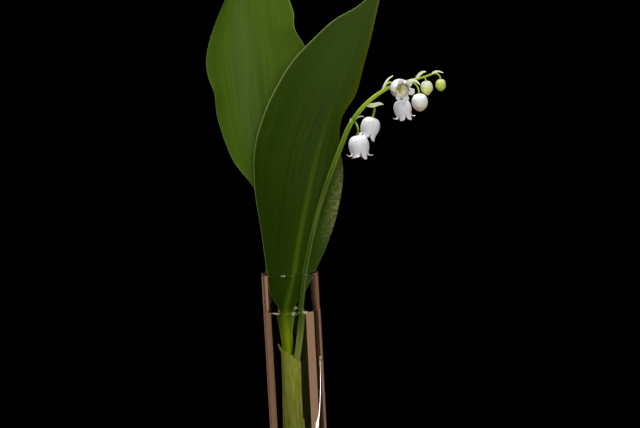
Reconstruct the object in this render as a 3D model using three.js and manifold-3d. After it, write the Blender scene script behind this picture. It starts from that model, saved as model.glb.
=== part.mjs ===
// A cut shoot of lily of the valley standing in a clear glass tube of water.
// Millimetres, +Z up. The origin is the centre of the tube's flat base.
// Every piece is built with z counted from the tube's rim, and the whole is lifted at the end.

import * as THREE from 'three';
import { mergeVertices } from 'three/addons/utils/BufferGeometryUtils.js';
import Module from 'manifold-3d';

const wasm = await Module();
wasm.setup();

// Glass tube and water
const TUBE_HEIGHT = 120;
const TUBE_RADIUS = 12.5;
const TUBE_WALL = 1.3;
const TUBE_FLOOR = 5;
const TUBE_SIDES = 40;
const FOOT_ROUND = 0.8;
const INNER_ROUND = 2.6;
const WATER_DROP = 18.2;
const MENISCUS = 0.7;
const CLEARANCE = 0.3;
const STEM_GAP = 0.4;

// Leaves: left margin, midrib and right margin at stations from the cut end to the tip
const LEAF_THICKNESS = 0.7;
const LEAF_COLUMNS = 8;
const LEAF_ROWS = 42;
const FRONT_LEAF = [
  [[-3.65, 0.4, -108], [-2.8, -1.55, -108], [-1.95, 0.2, -108]],
  [[-3.83, 0.28, -75], [-2.98, -1.67, -75], [-2.13, 0.08, -75]],
  [[-3.45, 0.2, -45], [-2.6, -1.75, -45], [-1.75, 0, -45]],
  [[-4, 0.4, -31], [-2.1, -1.9, -31], [-0.35, 0.2, -31]],
  [[-5.4, 0.1, -18], [-2.6, -2.6, -18], [0.2, -0.4, -18]],
  [[-9.2, -0.6, -9], [-0.6, -4.2, -9], [5.9, -0.9, -9.5]],
  [[-10.1, -0.8, 0], [1.6, -5.6, -1], [8.9, -1.1, -3]],
  [[-12.8, 0.2, 18.6], [4.8, -8, 14.6], [17, -0.2, 12.2]],
  [[-14, 1.6, 35.7], [8.6, -9, 29.7], [22.2, 0.8, 26]],
  [[-13.1, 2.8, 53], [12.8, -8, 45.2], [25.2, 1.6, 41]],
  [[-7.4, 3, 69], [17.4, -6, 59], [24, 2.8, 55]],
  [[0.5, 3, 83.4], [22.8, -4, 71.4], [25.2, 2.2, 66]],
  [[9.6, 2.8, 95.3], [29.6, -1, 85.8], [33, 0.8, 79]],
  [[22.9, 3, 105.2], [35.4, 2, 99.1], [37.9, 1.4, 92.5]],
  [[37, 4.4, 112.6], [41.3, 5, 111.5], [43.2, 4.2, 109]],
  [[45.5, 7, 122.2], [46.2, 7.1, 122.6], [46.7, 7, 121.8]],
];
const BACK_LEAF = [
  [[-3.15, 1.6, -108], [-2.2, 1.95, -108], [-1.3, 1.75, -108]],
  [[-3.33, 1.45, -75], [-2.4, 1.85, -75], [-1.5, 1.6, -75]],
  [[-2.95, 1.35, -45], [-2.1, 1.75, -45], [-1.1, 1.55, -45]],
  [[-3.4, 1.9, -31], [-2, 2.2, -31], [-0.6, 2, -31]],
  [[-4, 2.5, -18], [-1.6, 3.4, -18], [1, 2.6, -18]],
  [[-5.6, 3, -9], [-0.8, 5.4, -9], [4.2, 2.8, -9]],
  [[-7.2, 3.4, 0], [0.2, 7.6, 0], [6.6, 3.6, 0]],
  [[-9, 5, 15], [-3.7, 12, 14.2], [7.6, 7, 15]],
  [[-13.1, 7.5, 33], [-8, 16, 34], [10.3, 10, 36]],
  [[-22.3, 10, 49.5], [-11.5, 20, 51.5], [12, 13, 53]],
  [[-28.4, 14.5, 69], [-14.1, 24, 70], [13.8, 16.2, 70]],
  [[-29.6, 17, 80.4], [-14.4, 25.8, 81], [13.8, 17.8, 80.5]],
  [[-31.8, 18.8, 91], [-14.4, 27.2, 91.5], [12.4, 19.2, 91]],
  [[-28.4, 24, 106], [-14.7, 30.2, 106], [7.5, 23, 105]],
  [[-23, 28.4, 118], [-14.6, 33, 117], [5.5, 27, 116]],
  [[-15.6, 33.4, 134.5], [-11.8, 36.2, 134.5], [-1.8, 32.4, 132]],
  [[-8, 38, 147.6], [-7.5, 38.2, 148.2], [-6.9, 38, 147.4]],
];

// Scale leaves: sleeves round the foot of the shoot, with centre and half widths from the cut end up
const SHEATH_WALL = 0.55;
const SHEATH_SIDES = 20;
const SHEATH_FOOT = -111;
const SHEATH_INNER = [
  { centre: [-1.7, 0.2, SHEATH_FOOT], half: [3.5, 3.4] },
  { centre: [-1.9, 0.1, -75], half: [3.5, 3.35] },
  { centre: [-1.5, 0, -45], half: [3.5, 3.25] },
  { centre: [-1.45, 0, -36.5], half: [3.85, 3.55] },
];
const INNER_MOUTH_RISE = 3;
const SHEATH_OUTER = [
  { centre: [-1.7, 0.2, SHEATH_FOOT + 0.6], half: [4.4, 4.3] },
  { centre: [-1.85, 0.15, -90], half: [4.4, 4.3] },
  { centre: [-1.85, 0.05, -67], half: [4.45, 4.25] },
];
const OUTER_MOUTH_RISE = -2;

// Plain hole in the water that the shoot stands in
const WELL = [
  { centre: [-1.7, 0.2, -112], half: [5, 4.9] },
  { centre: [-1.85, 0.1, -66], half: [5, 4.9] },
  { centre: [-1.5, 0, -45], half: [4.6, 4.3] },
  { centre: [-1, 0, -33], half: [4.9, 4.4] },
  { centre: [-0.7, -0.3, -17], half: [6.9, 5.2] },
];

// Flower stalk: its line and its radius at shares of its length
const SCAPE_SIDES = 8;
const SCAPE_STEPS = 52;
const SCAPE_RADIUS = [[0, 1], [0.3, 1.05], [0.5, 1.1], [0.8, 1], [0.89, 0.78], [0.96, 0.45], [1, 0.32]];
const SCAPE = [
  [-0.25, 0.2, -108],
  [-0.43, 0.08, -75],
  [0.05, 0, -45],
  [1.75, -0.6, -30],
  [3.3, -2.4, -18],
  [4.8, -4.6, -9],
  [6.3, -6.9, 0],
  [10, -10.2, 14.7],
  [15.5, -12.5, 33.9],
  [20.2, -13.6, 45.4],
  [25.3, -14.4, 56.7],
  [30.2, -15, 65.3],
  [33.7, -15, 69.4],
  [37.9, -15, 73.3],
  [42.2, -15, 76.3],
  [46.8, -15, 78.6],
  [54.2, -15, 80.6],
  [61, -15, 82],
  [65.2, -15, 83.3],
];

// Open flowers, from the lowest up: crown of the bell, way it hangs, turn about that way, size,
// the form of its lobes, and its own stem's line as far as the crown, with its radius
const PEDICEL_SIDES = 6;
const PEDICEL_STEPS = 6;
const FLOWERS = [
  {
    crown: [32.2, -20, 59.4],
    hangs: [0.06, -0.12, -1],
    turn: 30,
    size: 1,
    lobes: 'curled',
    stem: [[31.2, -15.2, 64.6], [31.8, -17.8, 63.4], [32.2, -19.6, 61.6]],
    stemRadius: 0.42,
  },
  {
    crown: [38.9, -11, 65.5],
    hangs: [-0.24, 0, -1],
    turn: 42,
    size: 0.98,
    lobes: 'curled',
    stem: [[36.3, -15, 71.5], [38.9, -13.4, 70.9], [39.7, -11.8, 69.6], [39.4, -11.1, 67.6]],
    stemRadius: 0.46,
  },
  {
    crown: [48.8, -17.4, 79.8],
    hangs: [0.38, -0.85, -0.34],
    turn: 12,
    size: 0.86,
    lobes: 'spread',
    stem: [[43.9, -15.2, 77.4], [44.8, -15.6, 79.7], [46.4, -15.3, 80.9], [47.9, -15.5, 80.6]],
    stemRadius: 0.4,
  },
  {
    crown: [51.7, -14.5, 73.1],
    hangs: [0.03, 0.02, -1],
    turn: 36,
    size: 0.9,
    lobes: 'curled',
    stem: [[50.2, -15, 79.4], [51.2, -14.7, 77.4], [51.6, -14.5, 75.4]],
    stemRadius: 0.38,
  },
];

// Closed buds: crown, way they hang, height, radius, how pointed the tip is, and the stem
const BUDS = [
  {
    crown: [58.3, -18.5, 75.3],
    hangs: [0.1, 0, -1],
    height: 7.6,
    radius: 3.5,
    point: 0,
    stem: [[54.8, -15.1, 80.8], [57, -16.3, 79.8], [58.1, -17.7, 77.8]],
    stemRadius: 0.34,
  },
  {
    crown: [61.4, -14, 80.2],
    hangs: [0.15, 0, -1],
    height: 6.4,
    radius: 2.75,
    point: 0.55,
    stem: [[60.7, -14.9, 82.1], [61.1, -14.4, 81.5]],
    stemRadius: 0.32,
  },
  {
    crown: [67.5, -15, 80.9],
    hangs: [0.12, 0, -1],
    height: 5.4,
    radius: 2.3,
    point: 0.15,
    stem: [[65.2, -15, 83.3], [66.6, -15, 82.9]],
    stemRadius: 0.3,
  },
];

// Bracts: midrib points from base to tip, half width, and the direction that each opens towards
const BRACTS = [
  {
    rib: [[29.4, -14.9, 64.2], [29, -15.2, 65.6], [28.9, -15.6, 67]],
    half: 0.5,
    opens: [0, -1, 0.4],
  },
  {
    rib: [[31.4, -15.1, 65.9], [32.9, -16, 66.8], [34.8, -16.6, 66.8]],
    half: 0.6,
    opens: [0, -0.4, 1],
  },
  {
    rib: [[36, -15, 71], [39.3, -14.6, 70.9], [42.9, -14.2, 71.8]],
    half: 1.2,
    opens: [-0.1, -0.6, 1],
  },
  {
    rib: [[43.1, -15.4, 77.3], [44.3, -16.3, 80], [45.7, -16.8, 82], [48, -16.8, 83.4]],
    half: 0.85,
    opens: [0.6, -1, -0.2],
  },
  {
    rib: [[54.5, -15.2, 81], [57.1, -16.8, 80.6], [59.3, -17.4, 78.8]],
    half: 0.65,
    opens: [0.2, -1, 0.8],
  },
  {
    rib: [[57.4, -15, 81.4], [58.8, -15, 83.2], [60.5, -14.9, 84.2], [62, -14.7, 84.1]],
    half: 0.75,
    opens: [0.5, -1, -0.5],
  },
  {
    rib: [[64.4, -15, 83.3], [66.7, -15.3, 83.6], [68.7, -15.5, 82.9]],
    half: 0.55,
    opens: [0, -0.8, 1],
  },
];
const BRACT_THICKNESS = 0.6;
const BRACT_DEPTH = 0.5;
const BRACT_COLUMNS = 2;
const BRACT_ROWS = 6;

// Share of a bract's length, with the share of its width there
const BRACT_WIDTHS = [[0, 0.9], [0.3, 1], [0.6, 0.8], [0.85, 0.5], [1, 0.25]];

// Bell: radius and depth below the crown along its profile, from the crown down to the notches
// between the lobes, then on to a lobe's tip
const BELL_BODY = [[0, 0], [1.6, 0.2], [3, 1.15], [3.85, 2.8], [4.1, 4.7], [3.92, 6.3], [3.65, 7.4]];
const LOBE_FORMS = {
  curled: [[3.9, 8.4], [4.65, 9.1], [5.35, 8.95], [5.6, 8.3]],
  spread: [[3.8, 8.3], [4.15, 9.2], [4.7, 9.9], [5.3, 10.3]],
};
const NOTCH_SHARE = 0.71;
const BELL_WALL = 0.66;
const BELL_COLUMNS = 30;
const BODY_ROWS = 5;
const LOBE_ROWS = 4;
const LOBES = 6;
const NOTCH_KEEPS = 0.14;
const LOBE_ROUNDNESS = 1.6;

// Heart of a flower. Radius and depth below the crown of the pistil: receptacle, ovary, style, stigma.
const PISTIL = [
  [0, 0.85], [1.1, 0.95], [1.15, 1.35], [0.9, 1.65], [1.2, 2.3], [1.05, 3.05], [0.48, 3.7],
  [0.42, 5.5], [0.62, 5.9], [0.5, 6.25], [0, 6.35],
];
const PISTIL_SIDES = 8;

// The stamens round the pistil, each a four-sided spindle
const STAMENS = 6;
const STAMEN = [
  { out: 0.9, depth: 1.1, radius: 0.28 },
  { out: 1.8, depth: 2.3, radius: 0.26 },
  { out: 1.95, depth: 3, radius: 0.48 },
  { out: 1.8, depth: 4.3, radius: 0.3 },
];

// Closed bud: share of the radius and of the height, from the crown to the tip
const BUD_PROFILE = [
  [0.3, 0.005], [0.66, 0.07], [0.92, 0.24], [1, 0.46], [0.9, 0.69], [0.62, 0.88], [0.26, 0.975],
];
const BUD_SIDES = 18;
const BUD_RIB = 0.03;
const BUD_POINT_FROM = 0.7;

// Colours
const LOOKS = {
  glass: { color: 0xd8d2c4, roughness: 0.03, metalness: 0, transparent: true, opacity: 0.35 },
  water: { color: 0xcfd8d2, roughness: 0.02, metalness: 0, transparent: true, opacity: 0.35 },
  sheath: { color: 0x9a9a45, roughness: 0.55, metalness: 0 },
  backLeaf: { color: 0x4b6919, roughness: 0.45, metalness: 0 },
  frontLeaf: { color: 0x2e4a0c, roughness: 0.45, metalness: 0 },
  scape: { color: 0x7f9c22, roughness: 0.45, metalness: 0 },
  bell: { color: 0xf1eef2, roughness: 0.5, metalness: 0 },
  heart: { color: 0xc9bf63, roughness: 0.6, metalness: 0 },
  whiteBud: { color: 0xeee9df, roughness: 0.5, metalness: 0 },
  paleBud: { color: 0xd7dfa8, roughness: 0.5, metalness: 0 },
  greenBud: { color: 0xaebb5a, roughness: 0.5, metalness: 0 },
};

const MERGE_DISTANCE = 1e-4;
const SMALL_STEP = 1e-3;
const TENSION = 0.5;
const ROUND_STEPS = 3;
const LIP_STEPS = 4;

function vectors(points) {
  return points.map((point) => new THREE.Vector3(...point));
}

// A smooth line through points
function smooth(points) {
  return new THREE.CatmullRomCurve3(points, false, 'catmullrom', TENSION);
}

// The two triangles of a quad, split from its first to its third corner
function quad(a, b, c, d) {
  return [a, b, c, a, c, d];
}

// One closed body: shared points merged, empty triangles dropped, faces pointing out
function tidy(geometry) {
  geometry.deleteAttribute('normal');
  geometry.deleteAttribute('uv');
  const merged = mergeVertices(geometry, MERGE_DISTANCE);
  const position = merged.getAttribute('position');
  const corner = [new THREE.Vector3(), new THREE.Vector3(), new THREE.Vector3()];
  const kept = [];
  let volume = 0;
  for (let f = 0; f < merged.index.count; f += 3) {
    const ids = [0, 1, 2].map((k) => merged.index.getX(f + k));
    if (new Set(ids).size === 3) {
      ids.forEach((id, k) => corner[k].fromBufferAttribute(position, id));
      volume += corner[0].dot(corner[1].clone().cross(corner[2]));
      kept.push(ids);
    }
  }
  const outward = volume > 0 ? kept : kept.map(([a, b, c]) => [a, c, b]);
  merged.setIndex(outward.flat());
  return merged;
}

function bodyFrom(points, faces) {
  const geometry = new THREE.BufferGeometry();
  const numbers = points.flatMap((point) => point.toArray());
  geometry.setAttribute('position', new THREE.Float32BufferAttribute(numbers, 3));
  geometry.setIndex(faces);
  return tidy(geometry);
}

// A sheet with two faces split alike. at(u, v, side) gives a point of the front (1) or back (-1) face.
// A sheet that wraps closes on itself across, and one with a pole starts at a single point.
function sheet(at, columns, rows, { wraps = false, pole = false } = {}) {
  const width = wraps ? columns : columns + 1;
  const layer = width * (rows + 1);
  const points = [];
  for (const side of [1, -1]) {
    for (let j = 0; j <= rows; j += 1) {
      for (let i = 0; i < width; i += 1) {
        points.push(at(i / columns, j / rows, side));
      }
    }
  }
  const front = (i, j) => j * width + (i % width);
  const faces = [];
  const wall = (p, q) => faces.push(...quad(p, p + layer, q + layer, q));
  for (let j = 0; j < rows; j += 1) {
    for (let i = 0; i < columns; i += 1) {
      const [a, b, c, d] = [front(i, j), front(i + 1, j), front(i + 1, j + 1), front(i, j + 1)];
      faces.push(...quad(a, b, c, d));
      faces.push(a + layer, c + layer, b + layer, a + layer, d + layer, c + layer);
    }
  }
  for (let i = 0; i < columns; i += 1) {
    if (!pole) {
      wall(front(i, 0), front(i + 1, 0));
    }
    wall(front(i + 1, rows), front(i, rows));
  }
  if (!wraps) {
    for (let j = 0; j < rows; j += 1) {
      wall(front(0, j + 1), front(0, j));
      wall(front(columns, j), front(columns, j + 1));
    }
  }
  return bodyFrom(points, faces);
}

// A body through rings of points. An open loft is capped at its two ends by fans.
function loft(rings, closesOnItself = false) {
  const sides = rings[0].length;
  const points = rings.flat();
  const faces = [];
  const id = (i, j) => (j % rings.length) * sides + (i % sides);
  const spans = closesOnItself ? rings.length : rings.length - 1;
  for (let j = 0; j < spans; j += 1) {
    for (let i = 0; i < sides; i += 1) {
      faces.push(...quad(id(i, j), id(i + 1, j), id(i + 1, j + 1), id(i, j + 1)));
    }
  }
  if (!closesOnItself) {
    const last = rings.length - 1;
    for (const [j, flips] of [[0, true], [last, false]]) {
      const middle = rings[j].reduce((sum, point) => sum.add(point), new THREE.Vector3());
      points.push(middle.divideScalar(sides));
      for (let i = 0; i < sides; i += 1) {
        const edge = flips ? [id(i + 1, j), id(i, j)] : [id(i, j), id(i + 1, j)];
        faces.push(points.length - 1, ...edge);
      }
    }
  }
  return bodyFrom(points, faces);
}

// A round rod along a smooth line, with its radius as a function of the share of its length
function rod(line, radiusAt, sides, steps) {
  const curve = smooth(vectors(line));
  const frames = curve.computeFrenetFrames(steps, false);
  const rings = [];
  for (let j = 0; j <= steps; j += 1) {
    const centre = curve.getPointAt(j / steps);
    const radius = radiusAt(j / steps);
    const ring = [];
    for (let i = 0; i < sides; i += 1) {
      const angle = (2 * Math.PI * i) / sides;
      ring.push(centre.clone()
        .addScaledVector(frames.normals[j], radius * Math.cos(angle))
        .addScaledVector(frames.binormals[j], radius * Math.sin(angle)));
    }
    rings.push(ring);
  }
  return loft(rings);
}

// A value between the [share, value] pairs of a table
function between(table, share) {
  const next = Math.max(1, table.findIndex(([from]) => from >= share));
  const [low, lowValue] = table[next - 1];
  const [high, highValue] = table[next];
  return THREE.MathUtils.mapLinear(share, low, high, lowValue, highValue);
}

function toManifold(geometry) {
  return new wasm.Manifold(new wasm.Mesh({
    numProp: 3,
    vertProperties: new Float32Array(geometry.getAttribute('position').array),
    triVerts: new Uint32Array(geometry.index.array),
  }));
}

function fromManifold(solid) {
  const mesh = solid.getMesh();
  const geometry = new THREE.BufferGeometry();
  geometry.setAttribute('position', new THREE.Float32BufferAttribute(mesh.vertProperties, 3));
  geometry.setIndex(Array.from(mesh.triVerts));
  return geometry;
}

function fuse(geometries) {
  const solids = geometries.map(toManifold);
  return fromManifold(solids.reduce((whole, solid) => whole.add(solid)));
}

// Points of an arc in the plane of radius and height, angles in degrees
function arc(centreR, centreZ, radius, from, to, steps) {
  return Array.from({ length: steps + 1 }, (_, k) => {
    const angle = THREE.MathUtils.degToRad(from + ((to - from) * k) / steps);
    return [centreR + radius * Math.cos(angle), centreZ + radius * Math.sin(angle)];
  });
}

function turned(profile, sides) {
  const points = profile.map(([radius, height]) => new THREE.Vector2(Math.max(radius, 0), height));
  return tidy(new THREE.LatheGeometry(points, sides).rotateX(Math.PI / 2));
}

function glassTube() {
  const inner = TUBE_RADIUS - TUBE_WALL;
  const base = -TUBE_HEIGHT;
  const floor = base + TUBE_FLOOR;
  const lip = TUBE_WALL / 2;
  return turned([
    [0, base],
    ...arc(TUBE_RADIUS - FOOT_ROUND, base + FOOT_ROUND, FOOT_ROUND, -90, 0, ROUND_STEPS),
    ...arc(TUBE_RADIUS - lip, -lip, lip, 0, 180, LIP_STEPS),
    ...arc(inner - INNER_ROUND, floor + INNER_ROUND, INNER_ROUND, 0, -90, ROUND_STEPS),
    [0, floor],
  ], TUBE_SIDES);
}

function ellipseRing({ centre, half }, sides, rise = 0, inset = 0) {
  return Array.from({ length: sides }, (_, i) => {
    const angle = (2 * Math.PI * i) / sides;
    return new THREE.Vector3(
      centre[0] + (half[0] - inset) * Math.cos(angle),
      centre[1] + (half[1] - inset) * Math.sin(angle),
      centre[2] - rise * Math.cos(angle),
    );
  });
}

function waterBody() {
  const outer = TUBE_RADIUS - TUBE_WALL - CLEARANCE;
  const bottom = TUBE_FLOOR + CLEARANCE - TUBE_HEIGHT;
  const top = -WATER_DROP;
  const column = turned([
    [0, bottom],
    ...arc(outer - INNER_ROUND, bottom + INNER_ROUND, INNER_ROUND, -90, 0, ROUND_STEPS),
    [outer, top + MENISCUS],
    [outer - MENISCUS / 2, top + MENISCUS / 4],
    [outer - 2 * MENISCUS, top],
    [0, top],
  ], TUBE_SIDES);
  const well = loft(WELL.map((section) => ellipseRing(section, SHEATH_SIDES)));
  return fromManifold(toManifold(column).subtract(toManifold(well)));
}

// A sleeve open at both ends: up its outside, over the slanted mouth and down its inside
function sleeve(sections, mouthRise) {
  const last = sections.length - 1;
  const rise = (k) => (k === last ? mouthRise : 0);
  const outside = sections.map((section, k) => ellipseRing(section, SHEATH_SIDES, rise(k)));
  const inside = sections.map((section, k) => ellipseRing(section, SHEATH_SIDES, rise(k), SHEATH_WALL));
  return loft([...outside, ...inside.reverse()], true);
}

// The middle surface of a leaf: a parabola through its three rails at every height
function leafSurface(stations) {
  const rails = [0, 1, 2].map((k) => smooth(vectors(stations.map((station) => station[k]))));
  return (u, v) => {
    const across = 2 * u - 1;
    const [left, midrib, right] = rails.map((rail) => rail.getPoint(v));
    return left.multiplyScalar((across * (across - 1)) / 2)
      .addScaledVector(midrib, 1 - across * across)
      .addScaledVector(right, (across * (across + 1)) / 2);
  };
}

// A point off a surface, along its normal
function offSurface(surface, u, v, distance) {
  const across = surface(Math.min(u + SMALL_STEP, 1), v).sub(surface(Math.max(u - SMALL_STEP, 0), v));
  const along = surface(u, Math.min(v + SMALL_STEP, 1)).sub(surface(u, Math.max(v - SMALL_STEP, 0)));
  return surface(u, v).addScaledVector(across.cross(along).normalize(), distance);
}

function blade(stations, thickness, columns, rows) {
  const surface = leafSurface(stations);
  const at = (u, v, side) => offSurface(surface, u, v, (side * thickness) / 2);
  return sheet(at, columns, rows);
}

// A bract is a small boat-shaped blade: its margins stand off the midrib towards where it opens
function bract({ rib, half, opens }) {
  const curve = smooth(vectors(rib));
  const open = new THREE.Vector3(...opens).normalize();
  const stations = BRACT_WIDTHS.map(([share, wide]) => {
    const middle = curve.getPoint(share);
    const aside = curve.getTangent(share).cross(open).normalize();
    const width = half * wide;
    const margin = (sign) => middle.clone()
      .addScaledVector(aside, sign * width)
      .addScaledVector(open, width * BRACT_DEPTH)
      .toArray();
    return [margin(-1), middle.toArray(), margin(1)];
  });
  return blade(stations, BRACT_THICKNESS, BRACT_COLUMNS, BRACT_ROWS);
}

function stalk() {
  const main = rod(SCAPE, (share) => between(SCAPE_RADIUS, share), SCAPE_SIDES, SCAPE_STEPS);
  const stems = [...FLOWERS, ...BUDS].map(({ crown, hangs, size, stem, stemRadius }) => {
    const wallAbove = size ? (size * BELL_WALL) / 2 : 0;
    const up = new THREE.Vector3(...hangs).normalize().negate();
    const end = new THREE.Vector3(...crown).addScaledVector(up, wallAbove + STEM_GAP);
    return rod([...stem, end.toArray()], () => stemRadius, PEDICEL_SIDES, PEDICEL_STEPS);
  });
  return fuse([main, ...stems, ...BRACTS.map(bract)]);
}

// A bell: its rows follow the profile to the notches, then run on into six lobes that curl outwards
function bell(form) {
  const outline = [...BELL_BODY, ...LOBE_FORMS[form]];
  const profile = new THREE.SplineCurve(outline.map(([r, depth]) => new THREE.Vector2(r, depth)));
  const rows = BODY_ROWS + LOBE_ROWS;
  const bodyShare = BODY_ROWS / rows;
  const at = (u, v, side) => {
    const fromMiddle = Math.abs(2 * ((u * LOBES) % 1) - 1);
    const reach = NOTCH_KEEPS + (1 - NOTCH_KEEPS) * (1 - fromMiddle ** LOBE_ROUNDNESS);
    const lobeShare = Math.max(0, v - bodyShare) / (1 - bodyShare);
    const share = v < bodyShare
      ? (NOTCH_SHARE * v) / bodyShare
      : NOTCH_SHARE + (1 - NOTCH_SHARE) * reach * lobeShare;
    const middle = profile.getPointAt(share);
    const slope = profile.getTangentAt(share);
    const offset = (side * BELL_WALL) / 2;
    const radius = v === 0 ? 0 : middle.x + slope.y * offset;
    const depth = v === 0 ? -offset : middle.y - slope.x * offset;
    const angle = 2 * Math.PI * u;
    return new THREE.Vector3(radius * Math.cos(angle), radius * Math.sin(angle), depth);
  };
  return sheet(at, BELL_COLUMNS, rows, { wraps: true, pole: true });
}

function heart() {
  const stamens = Array.from({ length: STAMENS }, (_, k) => {
    const angle = (2 * Math.PI * (k + 0.5)) / STAMENS;
    const outward = new THREE.Vector3(Math.cos(angle), Math.sin(angle), 0);
    const aside = new THREE.Vector3(-Math.sin(angle), Math.cos(angle), 0);
    return loft(STAMEN.map(({ out, depth, radius }) => {
      const centre = outward.clone().multiplyScalar(out).setZ(depth);
      return [[1, 0], [0, 1], [-1, 0], [0, -1]].map(([a, b]) => centre.clone()
        .addScaledVector(outward, a * radius)
        .addScaledVector(aside, b * radius));
    }));
  });
  return fuse([turned(PISTIL, PISTIL_SIDES), ...stamens]);
}

// A bud, crown at its own origin and hanging along its own +Z, with six low ribs and a point
function bud({ height, radius, point }) {
  const rings = BUD_PROFILE.map(([wide, deep]) => Array.from({ length: BUD_SIDES }, (_, i) => {
    const angle = (2 * Math.PI * i) / BUD_SIDES;
    const rib = 1 + BUD_RIB * deep * Math.cos(LOBES * angle);
    const narrowing = 1 - point * Math.max(0, deep - BUD_POINT_FROM);
    const r = radius * wide * rib * narrowing;
    return new THREE.Vector3(r * Math.cos(angle), r * Math.sin(angle), height * deep);
  }));
  return loft(rings);
}

function mesh(name, geometry, look) {
  const piece = new THREE.Mesh(geometry, new THREE.MeshStandardMaterial(LOOKS[look]));
  piece.name = name;
  return piece;
}

// A place for a flower: crown at a point, +Z the way it hangs, +X to the right, turned about +Z
function hung({ crown, hangs, turn = 0, size = 1 }) {
  const place = new THREE.Group();
  const down = new THREE.Vector3(...hangs).normalize();
  const right = new THREE.Vector3(1, 0, 0).addScaledVector(down, -down.x).normalize();
  const axes = new THREE.Matrix4().makeBasis(right, down.clone().cross(right), down);
  place.position.set(...crown);
  place.quaternion.setFromRotationMatrix(axes);
  place.rotateZ(THREE.MathUtils.degToRad(turn));
  place.scale.setScalar(size);
  return place;
}

const plant = new THREE.Group();
plant.position.z = TUBE_HEIGHT;
plant.add(mesh('vase', glassTube(), 'glass'));
plant.add(mesh('water', waterBody(), 'water'));
plant.add(mesh('sheath_outer', sleeve(SHEATH_OUTER, OUTER_MOUTH_RISE), 'sheath'));
plant.add(mesh('sheath_inner', sleeve(SHEATH_INNER, INNER_MOUTH_RISE), 'sheath'));
plant.add(mesh('leaf_back', blade(BACK_LEAF, LEAF_THICKNESS, LEAF_COLUMNS, LEAF_ROWS), 'backLeaf'));
plant.add(mesh('leaf_front', blade(FRONT_LEAF, LEAF_THICKNESS, LEAF_COLUMNS, LEAF_ROWS), 'frontLeaf'));
plant.add(mesh('scape', stalk(), 'scape'));

const bellShapes = { curled: bell('curled'), spread: bell('spread') };
const heartShape = heart();
FLOWERS.forEach((flower, k) => {
  const place = hung(flower);
  place.add(mesh(`flower_${k + 1}`, bellShapes[flower.lobes], 'bell'));
  place.add(mesh(`heart_${k + 1}`, heartShape, 'heart'));
  plant.add(place);
});

const budLooks = ['whiteBud', 'paleBud', 'greenBud'];
BUDS.forEach((shape, k) => {
  const place = hung(shape);
  place.add(mesh(`bud_${FLOWERS.length + k + 1}`, bud(shape), budLooks[k]));
  plant.add(place);
});

const lilyOfTheValley = new THREE.Group();
lilyOfTheValley.add(plant);

export default lilyOfTheValley;
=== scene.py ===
# A cut lily of the valley shoot standing in a clear glass tube of water.
# The pieces are drawn in millimetres, with z counted from the tube's rim, and one matrix turns them
# into the frame's metres. +Z is up, and the photograph looks along +Y.

import math

import bmesh
import bpy
from mathutils import Matrix, Vector


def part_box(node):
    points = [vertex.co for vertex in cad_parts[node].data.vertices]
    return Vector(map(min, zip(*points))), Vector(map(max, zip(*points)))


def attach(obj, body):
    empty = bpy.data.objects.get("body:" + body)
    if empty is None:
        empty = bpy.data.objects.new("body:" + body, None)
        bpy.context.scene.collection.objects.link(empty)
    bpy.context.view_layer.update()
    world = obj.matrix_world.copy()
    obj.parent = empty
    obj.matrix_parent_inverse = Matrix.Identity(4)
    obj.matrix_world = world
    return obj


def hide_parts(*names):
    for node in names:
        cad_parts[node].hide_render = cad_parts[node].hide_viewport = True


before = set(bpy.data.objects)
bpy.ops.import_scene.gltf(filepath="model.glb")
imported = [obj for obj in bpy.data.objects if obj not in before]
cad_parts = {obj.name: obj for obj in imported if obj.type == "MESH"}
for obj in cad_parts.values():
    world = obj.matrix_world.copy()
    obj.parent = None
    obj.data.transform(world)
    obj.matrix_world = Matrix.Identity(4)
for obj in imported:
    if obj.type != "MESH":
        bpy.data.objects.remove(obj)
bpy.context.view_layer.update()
scene = bpy.context.scene

MM = 0.001
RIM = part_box("vase")[1].z
TO_FRAME = Matrix.Translation((0, 0, RIM)) @ Matrix.Scale(MM, 4)

# Meshes: how close vertices become one, how short an edge is dropped, and from how many degrees an
# edge stays crisp. A smooth line is measured in so many fine steps per even step.
JOIN_WITHIN = 1e-4
SHORTEST_EDGE = 1e-5
SHARP_DEGREES = 60
FINE_STEPS = 8

# Glass tube: the rim is melted round, and a shallow groove runs round the outside below it
TUBE_HEIGHT = RIM / MM
TUBE_RADIUS = 12.5
TUBE_WALL = 1.3
TUBE_FLOOR = 5
TUBE_SIDES = 192
FOOT_ROUND = 0.8
FOOT_STEPS = 8
INNER_ROUND = 2.6
INNER_STEPS = 10
RIM_STEPS = 12
RIM_GROOVE = 0.06
RIM_GROOVE_AT = 1.15
RIM_GROOVE_END = 1.7
RIM_GROOVE_HALFWAY = 0.6
# A short straight stretch beside a rounding keeps its shading off the straight wall
HOLD = 0.08

# Water: how far its level lies below the rim, and how far its body goes into the glass, to leave no gap
WATER_DROP = 18.2
WATER_IN_GLASS = 0.03
# The water climbs the glass by a straight slope in degrees, which would meet the level water at the
# reach and bends softly into it. The profile follows it as far as the span. The back keeps only a
# share of the climb. Each wave round the edge has a count, a height and a start.
MENISCUS_SLOPE = 23
MENISCUS_REACH = 4.6
MENISCUS_BEND = 0.06
MENISCUS_SPAN = 5.8
MENISCUS_STEPS = 30
MENISCUS_LEFT_AT_BACK = 0.2
MENISCUS_WAVES = [(3, 0.06, 0.5), (7, 0.07, 2), (13, 0.05, 0.3)]
# Drops on the inner wall: turn from the front towards the right in degrees, height and radius.
# A drop is flat against the glass and a little longer than wide.
DROPS = [
    (7.6, -17, 0.5),
    (12.2, -14.7, 0.3),
    (23.5, -15.7, 0.26),
    (17.3, -16.4, 0.22),
    (16, -13.6, 0.18),
    (-52, -14.2, 0.3),
]
DROP_FLATNESS = 0.45
DROP_LENGTH = 1.2
DROP_SUBDIVISIONS = 3

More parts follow.
